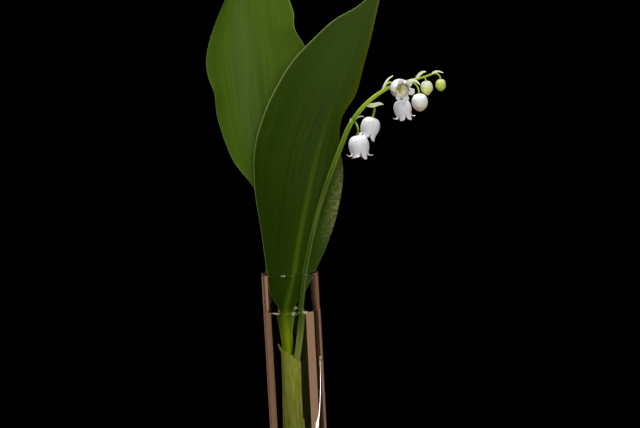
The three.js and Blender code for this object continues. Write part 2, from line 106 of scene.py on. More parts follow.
# Leaves: left margin, midrib and right margin at stations from the cut end to the tip
FRONT_LEAF = [
    [(-3.65, 0.4, -108), (-2.8, -1.55, -108), (-1.95, 0.2, -108)],
    [(-3.83, 0.28, -75), (-2.98, -1.67, -75), (-2.13, 0.08, -75)],
    [(-3.45, 0.2, -45), (-2.6, -1.75, -45), (-1.75, 0, -45)],
    [(-4, 0.4, -31), (-2.1, -1.9, -31), (-0.35, 0.2, -31)],
    [(-5.4, 0.1, -18), (-2.6, -2.6, -18), (0.2, -0.4, -18)],
    [(-9.2, -0.6, -9), (-0.6, -4.2, -9), (5.9, -0.9, -9.5)],
    [(-10.1, -0.8, 0), (1.6, -5.6, -1), (9.7, -1.1, -3)],
    [(-11.6, 0.2, 18.6), (4.8, -8, 14.6), (17.4, -0.2, 12.2)],
    [(-13.3, 1.6, 35.7), (8.6, -9, 29.7), (22.4, 0.8, 26)],
    [(-12.6, 2.8, 53), (12.8, -8, 45.2), (25.3, 1.6, 41)],
    [(-7.4, 3, 69), (17.4, -6, 59), (24.2, 2.8, 55)],
    [(-0.5, 3, 81.8), (21.6, -4.4, 69.2), (24.6, 2.4, 65)],
    [(6.4, 2.9, 91.2), (26.4, -2.4, 80), (32, 1, 74.6)],
    [(15.2, 3, 99.6), (32.2, 0.6, 92.6), (36.4, 1.6, 87.4)],
    [(24.6, 3.4, 107.2), (36.6, 2.8, 102.6), (40.4, 2.8, 99.6)],
    [(36.4, 5.2, 113.4), (41.4, 5, 112.6), (43.4, 4.4, 110.6)],
    [(45.5, 7, 122.2), (46.2, 7.1, 122.6), (46.7, 7, 121.8)],
]
BACK_LEAF = [
    [(-3.15, 1.6, -108), (-2.2, 1.95, -108), (-1.3, 1.75, -108)],
    [(-3.33, 1.45, -75), (-2.4, 1.85, -75), (-1.5, 1.6, -75)],
    [(-2.95, 1.35, -45), (-2.1, 1.75, -45), (-1.1, 1.55, -45)],
    [(-3.4, 1.9, -31), (-2, 2.2, -31), (-0.6, 2, -31)],
    [(-4, 2.5, -18), (-1.6, 3.4, -18), (1, 2.6, -18)],
    [(-5.6, 3, -9), (-0.8, 5.4, -9), (4.2, 2.8, -9)],
    [(-7.2, 3.4, 0), (0.2, 7.6, 0), (6.6, 3.6, 0)],
    [(-9, 5, 15), (-3.7, 12, 14.2), (7.6, 7, 15)],
    [(-13.1, 7.5, 34.5), (-8, 16, 34), (10.3, 10, 36)],
    [(-22.3, 10, 48.5), (-11.5, 20, 51.5), (12, 13, 53)],
    [(-28, 14, 66), (-13.8, 23.4, 67), (13.8, 15.7, 68)],
    [(-29.1, 16, 77.6), (-14.4, 25.3, 78), (14.2, 17.2, 79)],
    [(-31.3, 17.4, 84.6), (-14.5, 26.4, 86), (13.8, 18.6, 87.5)],
    [(-31.9, 18.8, 92.4), (-14.6, 27.8, 94.5), (12.2, 20.6, 94.8)],
    [(-29.6, 21.4, 102), (-14.8, 29.6, 103), (7.6, 23, 103.6)],
    [(-25.6, 25, 111.5), (-14.9, 31.7, 111.5), (7.3, 25, 111.5)],
    [(-20, 29, 123), (-14, 34, 122), (3.8, 28.6, 121)],
    [(-14.2, 33.8, 135.6), (-11.4, 36.4, 135.6), (-2.4, 33, 133.6)],
    [(-8, 38, 147.6), (-7.5, 38.2, 148.2), (-6.9, 38, 147.4)],
]
LEAF_THICKNESS = 0.55
LEAF_COLUMNS = 128
LEAF_ROWS = 220
# Folds along a leaf's veins: depth, half turns from the midrib to the margin, and where they start
BACK_FOLDS = [(0.012, 9.3, 0.4), (0.012, 14.6, 1.3), (0.014, 23, 0), (0.01, 41, 1)]
FRONT_FOLDS = [(0.009, 8.1, 0.9), (0.009, 13.3, 2.1), (0.008, 33, 1)]
# Keel under the midrib and the furrow over it. Folds and keel rise and fade between shares of the length.
KEEL_HEIGHT = 0.65
KEEL_HALF_WIDTH = 1.1
RIB_FURROW_DEPTH = 0.25
RIB_FURROW_HALF_WIDTH = 0.7
FOLDS_RISE = (0.28, 0.5)
FOLDS_FADE = (0.82, 1)
KEEL_RISES = (0.2, 0.35)
KEEL_FADES = (0.55, 0.95)

# Scale leaves: sleeves round the foot of the shoot, with centre and half widths from the cut end up
SHEATH_INNER = [
    ((-1.7, 0.2, -111), (3.1, 3.1)),
    ((-1.8, 0.1, -75), (3.1, 3)),
    ((-1.3, 0, -45), (2.95, 2.9)),
    ((-1.2, 0, -36.5), (3.0, 2.95)),
]
INNER_MOUTH_RISE = 3
SHEATH_OUTER = [
    ((-1.6, 0.2, -110.4), (3.6, 3.6)),
    ((-1.65, 0.15, -90), (3.55, 3.5)),
    ((-1.55, 0.05, -67), (3.5, 3.45)),
]
OUTER_MOUTH_RISE = -2
SHEATH_WALL = 0.4
SHEATH_COLUMNS = 144
SHEATH_ROWS = 70
# The wall thins towards both ends, over one part in so many of the height
SHEATH_THINNING = 12
# Ribs along a sleeve: how many go round it, in each of two sets, and their depth
SHEATH_RIBS = (22, 30.8)
SHEATH_RIBS_DEPTH = 0.015
# The mouth starts at a share of the height, its slant lower down, and its teeth have a count and a start
SHEATH_MOUTH = (0.9, 1)
SHEATH_SLANT = (0.6, 1)
SHEATH_TEETH = [(11, 0), (17, 1)]
SHEATH_TOOTH_HEIGHT = 0.12
# The inner sleeve's small pointed flap: its width in radians, its height, and how far it leans out
FLAP_WIDTH = 0.24
FLAP_HEIGHT = 2.2
FLAP_LEAN = 1.0

# Flower stalk: its line, its radius at shares of its length, and the low ribs along it
STALK_SIDES = 50
STALK_ROWS = 260
STALK_RIBS = 5
STALK_RIB_DEPTH = 0.1
STALK_RIB_START = 0.84
STALK_RADIUS = [(0, 1), (0.3, 1.05), (0.5, 1.1), (0.8, 1), (0.89, 0.78), (0.96, 0.45), (1, 0.32)]
STALK = [
    (-0.25, 0.2, -108),
    (-0.43, 0.08, -75),
    (0.05, 0, -45),
    (1.85, -0.8, -30),
    (3.5, -2.6, -18),
    (4.9, -4.7, -9),
    (6.4, -6.6, 0.5),
    (9.6, -9.4, 13.6),
    (12.9, -11.1, 24.8),
    (16.4, -12.1, 34.8),
    (20.4, -13, 44.6),
    (24.6, -13.9, 54.2),
    (28.3, -14.7, 62.3),
    (32.9, -15, 68.7),
    (37.7, -15, 73.2),
    (42.2, -15, 76.3),
    (46.8, -15, 78.6),
    (54.2, -15, 80.6),
    (61, -15, 82),
    (65.2, -15, 83.3),
]

# The flowers' own stems: radius at shares of the length, as a share of the middle's, and the end's
# height above the crown
STEM_SIDES = 14
STEM_ROWS = 36
STEM_SWELL = [(0, 1.3), (0.12, 1), (0.8, 1), (1, 1.25)]
STEM_END = 0.1

# Open flowers, from the lowest up: crown, way the bell hangs, turn about that way, size, how far each
# of the six lobes curls in degrees, and the flower's own stem as far as the crown
FLOWERS = [
    {
        "crown": (31.9, -20, 59),
        "hangs": (0.06, -0.12, -1),
        "turn": 24,
        "size": 1,
        "curls": (55, 130, 205, 120, 120, 150),
        "stem": [(31.2, -15.2, 64.6), (31.8, -17.8, 63.4), (32.2, -19.6, 61.6)],
        "stem_radius": 0.42,
    },
    {
        "crown": (38.65, -11, 65.5),
        "hangs": (-0.3, 0, -1),
        "turn": 18,
        "size": 0.94,
        "curls": (75, 140, 150, 120, 120, 30),
        "stem": [(36.3, -15, 71.5), (38.9, -13.4, 70.9), (39.7, -11.8, 69.6), (39.4, -11.1, 67.6)],
        "stem_radius": 0.46,
    },
    {
        "crown": (49.4, -17.2, 78.6),
        "hangs": (0.28, -0.94, -0.15),
        "turn": 15,
        "size": 0.93,
        "curls": (150, 140, 140, 105, 105, 165),
        "stem": [(43.9, -15.2, 77.4), (44.8, -15.4, 79.6), (46.6, -15.1, 80.4), (48.6, -15.8, 79.3)],
        "stem_radius": 0.4,
    },
    {
        "crown": (50.9, -14.5, 72.6),
        "hangs": (0.16, 0.02, -1),
        "turn": 20,
        "size": 0.87,
        "curls": (75, 105, 185, 120, 120, 140),
        "stem": [(50, -15, 79.4), (50.7, -14.7, 77.4), (50.9, -14.5, 75.4)],
        "stem_radius": 0.38,
    },
]

# Closed buds: crown, way they hang, height, radius, how pointed the tip is, and the stem
BUDS = [
    {
        "crown": (58.5, -18.5, 75.3),
        "hangs": (0.02, 0, -1),
        "height": 7.5,
        "radius": 3.3,
        "point": 0.6,
        "stem": [(54.6, -15.1, 80.7), (56.9, -16.3, 79.6), (58.2, -17.7, 77.6)],
        "stem_radius": 0.34,
    },
    {
        "crown": (61.8, -14, 80.2),
        "hangs": (0.09, 0, -1),
        "height": 6.1,
        "radius": 2.5,
        "point": 1.5,
        "stem": [(60.8, -14.9, 82.1), (61.5, -14.4, 81.4)],
        "stem_radius": 0.32,
    },
    {
        "crown": (67.9, -15, 80.7),
        "hangs": (0, 0, -1),
        "height": 5.1,
        "radius": 2.12,
        "point": 0.4,
        "stem": [(65.2, -15, 83.3), (66.6, -15, 83.1), (67.6, -15, 82.1)],
        "stem_radius": 0.3,
    },
]

# Bracts: midrib points from base to tip, half width, and the direction that each opens towards
BRACTS = [
    ([(29.3, -15.9, 64.3), (29.2, -16, 65.3), (29.5, -15.9, 66.3)], 0.3, (-1, -1, 0.4)),
    ([(31.6, -15.5, 65.9), (33.2, -16, 66.8), (34.9, -16.2, 66.8)], 0.35, (0, -0.4, 1)),
    ([(36.3, -15.3, 71.1), (39.2, -15.1, 70.6), (41.7, -14.8, 71.3), (43.5, -14.2, 71.3)], 1.3, (0, -0.6, 1)),
    ([(43.1, -15.4, 77.3), (44.3, -16.3, 80), (45.7, -16.8, 82), (48, -16.8, 83.4)], 0.6, (0.6, -1, -0.2)),
    ([(54.5, -15.2, 81), (57.1, -16.8, 80.6), (59.3, -17.4, 78.8)], 0.6, (0.2, -1, 0.8)),
    ([(57.4, -15, 81.4), (58.8, -15, 83.2), (60.5, -14.9, 84.2), (62, -14.7, 84.1)], 0.75, (0.5, -1, -0.5)),
    ([(64.4, -15, 83.3), (66.7, -15.3, 83.9), (69.2, -15.5, 83.4)], 0.5, (0, -0.8, 1)),
]
BRACT_THICKNESS = 0.3
BRACT_DEPTH = 0.75
BRACT_COLUMNS = 28
BRACT_ROWS = 26
BRACT_WIDTHS = [(0, 0.5), (0.2, 0.95), (0.35, 1), (0.6, 0.8), (0.85, 0.5), (1, 0.08)]

# Bell: radius and depth below the crown along its body, then the lobes that run on from it
BELL_BODY = [(0, 0), (1.9, 0.2), (3.2, 1.1), (3.88, 2.6), (4.05, 4.1), (3.88, 5.5), (3.46, 6.7)]
BELL_BODY_STEPS = 40
BELL_WALL = 0.6
BELL_COLUMNS = 120
BELL_ROWS = 64
# The wall thins towards the lobes' tips, over one part in so many of the line
BELL_THINNING = 5
# The body takes this share of a bell's grid, and the lobes take the rest
BODY_SHARE = 0.68
LOBES = 6
LOBE_LENGTH = 3.6
LOBE_STEPS = 24
LOBE_TAPER = 0.04
LOBE_ROUNDNESS = 2.5
# In the notch between two lobes, this share of their length is left, and their lines meet halfway
NOTCH_KEEPS = 0.04
NOTCH_BLEND = 0.5
NOTCH_NARROWNESS = 4
# Furrows run down the bell between the lobes, and a low keel down the middle of each lobe
BELL_FURROW_DEPTH = 0.12
BELL_FURROW_NARROWNESS = 3
BELL_FURROW_FROM = 0.15
LOBE_KEEL = 0.1
LOBE_KEEL_HALF_WIDTH = 0.25
LOBE_KEEL_RISES = (0.5, 0.9)
# From this share on, the inner wall turns from the inside's colour to the outside's
INSIDE_ENDS_FROM = 0.5

# Heart of a flower: radius and depth of the pistil, then one stamen's line and radius
PISTIL = [
    (0, 0.55),
    (1.1, 0.75),
    (1.15, 1.35),
    (0.9, 1.65),
    (1.2, 2.3),
    (1.05, 3.05),
    (0.48, 3.7),
    (0.42, 5.5),
    (0.62, 5.9),
    (0.5, 6.25),
    (0, 6.35),
]
PISTIL_SIDES = 24
PISTIL_ROWS = 40
STAMENS = 6
STAMEN_LINE = [(0.9, 0, 1.1), (1.8, 0, 2.3), (1.95, 0, 3), (1.8, 0, 4.3)]
STAMEN_RADIUS = [(0, 0.2), (0.35, 0.2), (0.5, 0.45), (0.85, 0.42), (1, 0.1)]
STAMEN_SIDES = 12
STAMEN_ROWS = 20

# Closed bud: radius and depth as shares of its own, low ribs, and where a pointed tip starts
BUD_PROFILE = [
    (0.1, 0),
    (0.3, 0.005),
    (0.66, 0.07),
    (0.92, 0.24),
    (1, 0.46),
    (0.9, 0.69),
    (0.62, 0.88),
    (0.26, 0.975),
    (0, 1),
]
BUD_SIDES = 72
BUD_ROWS = 60
BUD_RIB = 0.03
BUD_POINT_FROM = 0.7

# Leaf patterns, for a half width and a length between those of the two leaves, in millimetres. The
# finest veins of the real leaf lie closer than these, too close to show.
LEAF_HALF_WIDTH = 21
LEAF_LENGTH = 247
VEINS_ACROSS = LEAF_HALF_WIDTH / 0.5
VEINS_ALONG = LEAF_LENGTH / 61.75
VEIN_DETAIL = 2
VEIN_RELIEF = 0.12
VEIN_HEIGHT = 0.2
BANDS_ACROSS = LEAF_HALF_WIDTH / 4.2
BANDS_ALONG = LEAF_LENGTH / 112.3
BAND_DETAIL = 1
WRINKLES_ACROSS = LEAF_HALF_WIDTH / 3.5
WRINKLES_ALONG = LEAF_LENGTH / 1.3
WRINKLE_DETAIL = 2
# How much of the shade the bands make, how much lighter the leaf is painted towards the tip (painted shade
# where the light from above reaches it less), and where it goes from dark to light
BANDS_SHARE = 0.4
PAINTED_LIGHTER_TO_TIP = 0.5
LEAF_SHADES = {"From Min": 0.52, "From Max": 1.42}
# The midrib's stripe fades over two thirds of its half width, and between shares of the length
RIB_CORE = 3
RIB_RUNS = {"From Min": 0.68, "From Max": 0.4}
# The margin's pale line in millimetres from the edge, partly the leaf's own pale margin and partly painted
# rim light, and the heights over which the foot turns yellow
MARGIN_AND_RIM_LIGHT_WIDE = {"From Min": 0.32, "From Max": 0.08}
FOOT_YELLOWS = {"From Min": RIM - 16 * MM, "From Max": RIM - 28 * MM}
LEAF_MARGIN_AND_RIM_LIGHT = "9AAE5C"
# On the lower leaf, the right side is ochre high up, and below it lies a pale bloom in fine wrinkles, which
# also paints the speckled sheen of light on them
LEAF_OCHRE = "7A6A12"
OCHRE_ACROSS = {"From Min": 0.4, "From Max": 0.95}
OCHRE_ALONG = {"From Min": 0.56, "From Max": 0.66, "To Max": 0.75}
LEAF_BLOOM_AND_SHEEN = "AEB66C"
BLOOM_AND_SHEEN_WRINKLES = {"From Min": 0.43, "From Max": 0.61, "To Min": 0.32, "To Max": 1.0}
BLOOM_AND_SHEEN_BELOW = {"From Min": 0.62, "From Max": 0.52}
BLOOM_AND_SHEEN_ABOVE = {"From Min": 0.42, "From Max": 0.5}
BLOOM_AND_SHEEN_ACROSS = {"From Min": 0.48, "From Max": 0.9}
LEAF_LETS_THROUGH = 0.4

# Fibres: the way round a sleeve, round the stalk and over half a bract, by the fibres' spacing, in
# millimetres. The real ones lie closer, too close to show. One runs for a ninth of a piece's length.
SHEATH_FIBRES = 19.04 / 0.56
STALK_FIBRES = 6.57 / 0.73
BRACT_FIBRES = 1.3 / 0.26
FIBRES_ALONG = 9
FIBRE_DETAIL = 4
FIBRE_RELIEF = 0.3
FIBRE_HEIGHT = 0.15
FIBRES_SHOW = {"From Min": 0.4, "From Max": 0.7}
# The crests of the stalk's ribs are painted lighter: a painted highlight where they catch the light
RIDGE_HIGHLIGHTS_SHOW = {"From Min": 0.3, "From Max": 1.0, "To Max": 0.22}

# Living tissue is less glossy than plastic. Wax lets light in by a short way, red the furthest.
TISSUE_GLOSS = 0.18
WAX_DEPTH = 0.6
WAX_DEPTH_BY_COLOUR = (1.0, 0.9, 0.75)
WAX_SHEEN = 0.2
WAX_SHEEN_ROUGHNESS = 0.35
WAX_LETS_THROUGH = 0.15

# Sockets of a colour Mix node, which shares their names with its other kinds
FACTOR = 0
COLOUR_A = 6
COLOUR_B = 7
MIXED = 2

# Camera: its place in metres, its fall and its roll in degrees, and its lens in millimetres
CAMERA_PLACE = (14.36 * MM, -762.81 * MM, 247.38 * MM)
CAMERA_DOWN = 7.7
CAMERA_ROLL = 3.0
CAMERA_LENS = 100
CAMERA_SENSOR = 36
CAMERA_NEAREST = 0.01

# Lights, in metres: the point that the lamps face, the tall panels' distance and height, the strips
# that lie below the table's level, where only the water's edge shows them, and the dim surround
MIDDLE = (0.02, 0, 0.16)
PANEL_DISTANCE = 1.5
PANEL_HEIGHT = 1.6
STRIP_LEVEL = -0.02
STRIP_LINE = [(0, 0.088), (0.008, 0.09), (0.024, 0.112), (0.043, 0.138), (0.082, 0.178)]
STRIP_WIDTHS = [0.02, 0.02, 0.024, 0.034]
STRIP_RADIANCE = 0.6
STRIP_COLOUR = "FFE4C9"
SURROUND = (0.0002, 0.0002, 0.0002, 1)

# Floor: a small round board under the tube, in metres
FLOOR_RADIUS = 0.05
FLOOR_DEPTH = 0.008
FLOOR_SIDES = 128
FLOOR_GAP = 0.00005


def smooth(points):
    """A smooth line through points, as a function of a share from 0 to 1 that counts its spans evenly."""
    knots = [Vector(point) for point in points]
    knots = [2 * knots[0] - knots[1], *knots, 2 * knots[-1] - knots[-2]]
    spans = len(points) - 1

    def at(share):
        place = min(max(share, 0), 1) * spans
        span = min(int(place), spans - 1)
        t = place - span
        a, b, c, d = knots[span : span + 4]
        return (2 * b + (c - a) * t + (2 * a - 5 * b + 4 * c - d) * t**2 + (3 * b - 3 * c + d - a) * t**3) / 2

    return at


def evenly(line, count):
    """Count + 1 points along a smooth line, at even distances."""
    fine_count = FINE_STEPS * count
    fine = [line(k / fine_count) for k in range(fine_count + 1)]
    lengths = [0]
    for before, after in zip(fine, fine[1:]):
        lengths.append(lengths[-1] + (after - before).length)
    points = []
    k = 0
    for step in range(count + 1):
        wanted = lengths[-1] * step / count
        while k < len(fine) - 2 and lengths[k + 1] < wanted:
            k += 1
        share = (wanted - lengths[k]) / (lengths[k + 1] - lengths[k])
        points.append(fine[k].lerp(fine[k + 1], share))
    return points


def between(table, share):
    """A value between the (share, value) pairs of a table."""
    for (low, low_value), (high, high_value) in zip(table, table[1:]):
        if share <= high:
            return low_value + (high_value - low_value) * (share - low) / (high - low)
    return table[-1][1]


def bump(x, middle, width):
    """A smooth hill of height 1."""
    return math.exp(-(((x - middle) / width) ** 2))


def fade(x, low, high):
    """0 below low, 1 above high, and smooth between them."""
    share = min(max((x - low) / (high - low), 0), 1)
    return share * share * (3 - 2 * share)


def sheet(columns, rows, at, notes):
    """A grid moved to at(u, v), closed where its edges meet.

    notes(u, v) gives the named values that each vertex carries for its material.
    """
    bm = bmesh.new()
    uv_map = bm.loops.layers.uv.new("map")
    bmesh.ops.create_grid(bm, x_segments=columns, y_segments=rows, size=0.5)
    layers = {name: bm.verts.layers.float.new(name) for name in sorted(notes(0, 0))}
    for vert in bm.verts:
        u = vert.co.x + 0.5
        v = vert.co.y + 0.5
        for loop in vert.link_loops:
            loop[uv_map].uv = (u, v)
        for name, value in notes(u, v).items():
            vert[layers[name]] = value
        vert.co = at(u, v)
    close(bm)
    return bm


def close(bm):
    """Joins seams and poles, fills what is still open, and turns the faces outwards."""
    bmesh.ops.remove_doubles(bm, verts=bm.verts, dist=JOIN_WITHIN)
    bmesh.ops.dissolve_degenerate(bm, edges=bm.edges, dist=SHORTEST_EDGE)
    open_edges = [edge for edge in bm.edges if edge.is_boundary]
    if open_edges:
        bmesh.ops.holes_fill(bm, edges=open_edges, sides=0)
    if bm.calc_volume(signed=True) < 0:
        bmesh.ops.reverse_faces(bm, faces=bm.faces)


def piece(name, bm, look, slot, *nodes):
    """A finished piece in the frame's metres, which rides on the one body and stands for its nodes."""
    bmesh.ops.transform(bm, matrix=TO_FRAME, verts=bm.verts)
    mesh = bpy.data.meshes.new(name)
    bm.to_mesh(mesh)
    bm.free()
    mesh.materials.append(look)
    mesh.shade_smooth()
    mesh.set_sharp_from_angle(angle=math.radians(SHARP_DEGREES))
    thing = bpy.data.objects.new(name, mesh)
    scene.collection.objects.link(thing)
    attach(thing, "root")
    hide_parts(*nodes)


def off(surface, a, v):
    """A point of a surface and its normal there."""
    step = 1e-3
    across = surface(min(a + step, 1), v) - surface(max(a - step, -1), v)
    along = surface(a, min(v + step, 1)) - surface(a, max(v - step, 0))
    return surface(a, v), across.cross(along).normalized()


def leaf_surface(stations):
    """The middle surface of a leaf, by a share from -1 to 1 across it and from 0 to 1 along it."""
    rails = [smooth([station[k] for station in stations]) for k in range(3)]

    def surface(a, v):
        left, rib, right = [rail(v) for rail in rails]
        return left * (a * (a - 1) / 2) + rib * (1 - a * a) + right * (a * (a + 1) / 2)

    return surface


def blade(surface, thickness, columns, rows, relief):
    """A closed blade: its section runs out along one face and back along the other, thin at the margins."""

    def at(u, v):
        turn = 2 * math.pi * u
        a = math.cos(turn)
        side = math.sin(turn)
        point, normal = off(surface, a, v)
        return point + normal * (side * thickness / 2 + relief(a, v, side))

    def notes(u, v):
        a = math.cos(2 * math.pi * u)
        half = (surface(1, v) - surface(-1, v)).length / 2
        return {"across": a, "along": v, "margin": half * (1 - abs(a)), "from_rib": half * a, "round": a}

    return sheet(columns, rows, at, notes)


def stem(line, radius_at, sides, rows, ribs=0, rib_depth=0, rib_start=0):
    """A round stem along a smooth line, with low ribs if any."""
    points = evenly(line, rows)
    frames = []
    # The first side points to the back and a little up, where no stem runs
    side = Vector((0, 1, 0.01))
    for k, point in enumerate(points):
        along = (points[min(k + 1, rows)] - points[max(k - 1, 0)]).normalized()
        side = (side - along * side.dot(along)).normalized()
        frames.append((point, side, along.cross(side)))

    def at(u, v):
        point, side, other = frames[round(v * rows)]
        angle = 2 * math.pi * u
        radius = radius_at(v) * (1 + rib_depth * math.cos(ribs * angle + rib_start))
        return point + side * (radius * math.cos(angle)) + other * (radius * math.sin(angle))

    def notes(u, v):
        return {"along": v, "round": u, "ridge": math.cos(ribs * 2 * math.pi * u + rib_start) if ribs else 0}

    return sheet(sides, rows, at, notes)


def hung(crown, hangs, turn=0, size=1):
    """A place for a flower: crown at a point, +Z the way it hangs, +X to the right, turned about +Z."""
    down = Vector(hangs).normalized()
    right = (Vector((1, 0, 0)) - down * down.x).normalized()
    axes = Matrix((right, down.cross(right), down)).transposed().to_4x4()
    turned_by = Matrix.Rotation(math.radians(turn), 4, "Z")
    return Matrix.Translation(crown) @ axes @ turned_by @ Matrix.Scale(size, 4)


def linear(code):
    """A colour for a socket from its sRGB hex value."""
    parts = [int(code[k : k + 2], 16) / 255 for k in (0, 2, 4)]
    return [part / 12.92 if part <= 0.04045 else ((part + 0.055) / 1.055) ** 2.4 for part in parts] + [1]


def add(tree, kind, inputs=None, **settings):
    """Adds a shader node. A value in inputs goes to that socket, and a socket in inputs is linked to it."""
    new = tree.nodes.new("ShaderNode" + kind)
    for name, value in settings.items():
        setattr(new, name, value)
    for name, value in (inputs or {}).items():
        if isinstance(value, bpy.types.NodeSocket):
            tree.links.new(value, new.inputs[name])
        else:
            new.inputs[name].default_value = value
    return new


def material(name):
    """An empty node material and its tree."""
    made = bpy.data.materials.new(name)
    made.use_nodes = True
    made.node_tree.nodes.clear()
    return made, made.node_tree


def matt(name, code, roughness):
    """A plain surface with matt paint."""
    made, tree = material(name)
    shader = add(tree, "BsdfPrincipled", {"Base Color": linear(code), "Roughness": roughness})
    add(tree, "OutputMaterial", {"Surface": shader.outputs[0]})
    return made


def streaks(tree, across, along, lines, lengths, detail):
    """Uneven lines along a piece, as values round 0.5: so many over its width and so many over its length."""
    place = add(tree, "CombineXYZ", {"X": across, "Y": along})
    drawn_out = add(tree, "Mapping", {"Vector": place.outputs[0], "Scale": (lines, lengths, 1)})
    noise = add(tree, "TexNoise", {"Vector": drawn_out.outputs[0], "Scale": 1.0, "Detail": detail})
    return noise.outputs["Fac"]


def patch(tree, *limits):
    """A patch of a piece, as a value up to 1 where every limit holds.

    A limit is a value of the piece, with the range over which the patch fades in.
    """
    shares = [add(tree, "MapRange", {"Value": value, **fades}).outputs[0] for value, fades in limits]
    whole = shares[0]
    for share in shares[1:]:
        whole = add(tree, "Math", {0: whole, 1: share}, operation="MULTIPLY").outputs[0]
    return whole


def coated(tree, colour, coats):
    """Coats of colour over a first one. Each has the patch that it covers and its sRGB hex value."""
    for cover, code in coats:
        colour = add(
            tree,
            "Mix",
            {FACTOR: cover, COLOUR_A: colour, COLOUR_B: linear(code)},
            data_type="RGBA",
        ).outputs[MIXED]
    return colour


def thin(tree, colour, through, share, roughness, normal):
    """Living tissue: it scatters light back in one colour and lets a share of it through in another."""
    skin = add(
        tree,
        "BsdfPrincipled",
        {"Base Color": colour, "Roughness": roughness, "Specular IOR Level": TISSUE_GLOSS, "Normal": normal},
    )
    glow = add(tree, "BsdfTranslucent", {"Color": through})
    both = add(tree, "MixShader", {0: share, 1: skin.outputs[0], 2: glow.outputs[0]})
    add(tree, "OutputMaterial", {"Surface": both.outputs[0]})


def leaf(name, dark, light, foot, rib, rib_half, through, roughness, ochre_bloom_sheen):
    """A leaf with parallel veins, painted shade that lightens it towards the tip, a pale margin that is
    partly painted rim light, a midrib of another green and a yellower foot.
    """
    made, tree = material(name)
    across, along, from_rib, from_margin = [
        add(tree, "Attribute", attribute_name=note).outputs["Fac"]
        for note in ("across", "along", "from_rib", "margin")
    ]
    height = add(tree, "SeparateXYZ", {0: add(tree, "TexCoord").outputs["Object"]}).outputs["Z"]
    off_rib = add(tree, "Math", {0: from_rib}, operation="ABSOLUTE").outputs[0]
    rib_edge = {"From Min": rib_half, "From Max": rib_half / RIB_CORE}

    veins = streaks(tree, across, along, VEINS_ACROSS, VEINS_ALONG, VEIN_DETAIL)
    bands = streaks(tree, across, along, BANDS_ACROSS, BANDS_ALONG, BAND_DETAIL)
    lines = add(tree, "Math", {0: bands, 1: BANDS_SHARE, 2: veins}, operation="MULTIPLY_ADD").outputs[0]
    # Painted shade: the leaf is painted darker low down and lighter towards its tip
    shade = add(tree, "Math", {0: along, 1: PAINTED_LIGHTER_TO_TIP, 2: lines}, operation="MULTIPLY_ADD").outputs[0]
    coats = [
        (patch(tree, (shade, LEAF_SHADES)), light),
        (patch(tree, (off_rib, rib_edge), (along, RIB_RUNS)), rib),
    ]
    if ochre_bloom_sheen:
        wrinkles = streaks(tree, across, along, WRINKLES_ACROSS, WRINKLES_ALONG, WRINKLE_DETAIL)
        belt = [(along, BLOOM_AND_SHEEN_BELOW), (along, BLOOM_AND_SHEEN_ABOVE), (across, BLOOM_AND_SHEEN_ACROSS)]
        coats.append((patch(tree, (across, OCHRE_ACROSS), (along, OCHRE_ALONG)), LEAF_OCHRE))
        # Painted sheen: the pale bloom also stands for light glinting on the wrinkles
        coats.append((patch(tree, *belt, (wrinkles, BLOOM_AND_SHEEN_WRINKLES)), LEAF_BLOOM_AND_SHEEN))
    coats.append((patch(tree, (height, FOOT_YELLOWS)), foot))
    # Pale margin: partly the leaf's own colour, partly painted rim light
    coats.append((patch(tree, (from_margin, MARGIN_AND_RIM_LIGHT_WIDE)), LEAF_MARGIN_AND_RIM_LIGHT))
    colour = coated(tree, linear(dark), coats)
    relief = add(tree, "Bump", {"Strength": VEIN_RELIEF, "Distance": VEIN_HEIGHT * MM, "Height": veins})
    thin(tree, colour, linear(through), LEAF_LETS_THROUGH, roughness, relief.outputs[0])
    return made


def fibrous(name, grounds, light, strength, lines, roughness, share=0.0, through="FFFFFF"):
    """Light fibres, and a painted highlight on the ridges, on a ground whose colour changes between heights
    in millimetres.
    """
    made, tree = material(name)
    round_it, along, ridge = [
        add(tree, "Attribute", attribute_name=note).outputs["Fac"] for note in ("round", "along", "ridge")
    ]
    height = add(tree, "SeparateXYZ", {0: add(tree, "TexCoord").outputs["Object"]}).outputs["Z"]
    coats = []
    for (above, _), (below, code) in zip(grounds, grounds[1:]):
        heights = {"From Min": RIM + above * MM, "From Max": RIM + below * MM}
        coats.append((patch(tree, (height, heights)), code))
    fibres = streaks(tree, round_it, along, lines, FIBRES_ALONG, FIBRE_DETAIL)
    drawn = patch(tree, (fibres, {**FIBRES_SHOW, "To Max": strength}))
    # Painted highlight along the ridges' crests
    ridge_highlights = patch(tree, (ridge, RIDGE_HIGHLIGHTS_SHOW))
    both = add(tree, "Math", {0: drawn, 1: ridge_highlights}, operation="MAXIMUM").outputs[0]
    colour = coated(tree, linear(grounds[0][1]), [*coats, (both, light)])
    relief = add(tree, "Bump", {"Strength": FIBRE_RELIEF, "Distance": FIBRE_HEIGHT * MM, "Height": fibres})
    thin(tree, colour, linear(through), share, roughness, relief.outputs[0])
    return made


